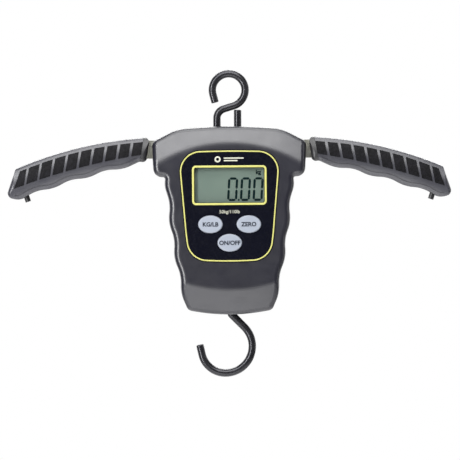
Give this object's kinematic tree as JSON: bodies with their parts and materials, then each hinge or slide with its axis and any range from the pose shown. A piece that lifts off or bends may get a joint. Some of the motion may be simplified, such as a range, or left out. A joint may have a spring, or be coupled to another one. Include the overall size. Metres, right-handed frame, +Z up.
{
  "type": "digital fish scale",
  "caption": "Hanging digital scale with a wire eye above, a swivel hook below, a display with three keys, and two fold-out hand grips.",
  "frame": {"origin": "centre of the wire loop of the top eye, which the scale hangs from", "axes": "+Z up, the display and keys face -Y, +X to the right of someone who reads the display"},
  "size_m": [0.288, 0.0332, 0.1998],
  "materials": {
    "casing_plastic": "satin dark grey moulded ABS",
    "grip_rubber": "matt black moulded rubber",
    "panel_black": "black printed polycarbonate overlay",
    "window_clear": "clear polycarbonate",
    "lcd": "grey green liquid-crystal glass",
    "backlight_white": "white diffuser",
    "strip_rubber": "pink and black elastomer",
    "board_green": "green solder mask",
    "chip_black": "black epoxy",
    "button_plastic": "pale blue grey satin",
    "black_wire": "black plated spring steel wire",
    "zinc_steel": "zinc plated steel",
    "peg_black": "black nylon",
    "screw_steel": "black oxide steel",
    "cell_aluminium": "machined aluminium",
    "gauge_foil": "polyimide foil",
    "battery_skin": "printed sleeve",
    "contact_metal": "nickel plated spring steel"
  },
  "bodies": {
    "casing": {"front_shell": "casing_plastic", "rear_shell": "casing_plastic", "front_panel": "panel_black", "display_window": "window_clear", "lcd_glass": "lcd", "backlight": "backlight_white", "contact_strips": "strip_rubber", "main_board": "board_green", "controller_chip": "chip_black", "tact_switches": "chip_black", "top_eye": "black_wire", "load_plate_front": "zinc_steel", "load_plate_rear": "zinc_steel", "hinge_pin_right": "zinc_steel", "hinge_pin_left": "zinc_steel", "eye_cross_pin": "zinc_steel", "stop_pins": "zinc_steel", "cell_rivets": "zinc_steel", "hook_washer": "zinc_steel", "case_screws": "screw_steel", "board_screws": "screw_steel", "load_cell": "cell_aluminium", "strain_gauges": "gauge_foil", "batteries": "battery_skin", "battery_contacts": "contact_metal"},
    "right_handle": {"handle_tang_right": "zinc_steel", "handle_collar_right": "peg_black", "handle_frame_front_right": "casing_plastic", "handle_frame_rear_right": "casing_plastic", "handle_grip_front_right": "grip_rubber", "handle_grip_rear_right": "grip_rubber", "latch_peg_right": "peg_black", "tang_pins_right": "zinc_steel"},
    "left_handle": {"handle_tang_left": "zinc_steel", "handle_collar_left": "peg_black", "handle_frame_front_left": "casing_plastic", "handle_frame_rear_left": "casing_plastic", "handle_grip_front_left": "grip_rubber", "handle_grip_rear_left": "grip_rubber", "latch_peg_left": "peg_black", "tang_pins_left": "zinc_steel"},
    "hook": {"lower_hook": "black_wire", "hook_nut": "black_wire"},
    "unit_key": {"unit_button": "button_plastic"},
    "zero_key": {"zero_button": "button_plastic"},
    "power_key": {"power_button": "button_plastic"},
    "rear_door": {"battery_door": "casing_plastic"}
  },
  "joints": [
    {"name": "right_handle_fold", "type": "hinge", "parent": "casing", "child": "right_handle", "pos_m": [0.04137, 0, -0.04542], "axis": [0, 1, 0], "range_deg": [0, 83]},
    {"name": "left_handle_fold", "type": "hinge", "parent": "casing", "child": "left_handle", "pos_m": [-0.04137, 0, -0.04542], "axis": [0, -1, 0], "range_deg": [0, 83]},
    {"name": "hook_swivel", "type": "hinge", "parent": "casing", "child": "hook", "pos_m": [0, 0, -0.13], "axis": [0, 0, 1], "continuous": true},
    {"name": "unit_press", "type": "slide", "parent": "casing", "child": "unit_key", "axis": [0, 1, 0], "range_m": [0, 0.0008], "stiffness_N_per_m": 800},
    {"name": "zero_press", "type": "slide", "parent": "casing", "child": "zero_key", "axis": [0, 1, 0], "range_m": [0, 0.0008], "stiffness_N_per_m": 800},
    {"name": "power_press", "type": "slide", "parent": "casing", "child": "power_key", "axis": [0, 1, 0], "range_m": [0, 0.0008], "stiffness_N_per_m": 800},
    {"name": "battery_door_hinge", "type": "hinge", "parent": "casing", "child": "rear_door", "pos_m": [0, 0.0147, -0.1117], "axis": [-1, 0, 0], "range_deg": [0, 70]}
  ]
}
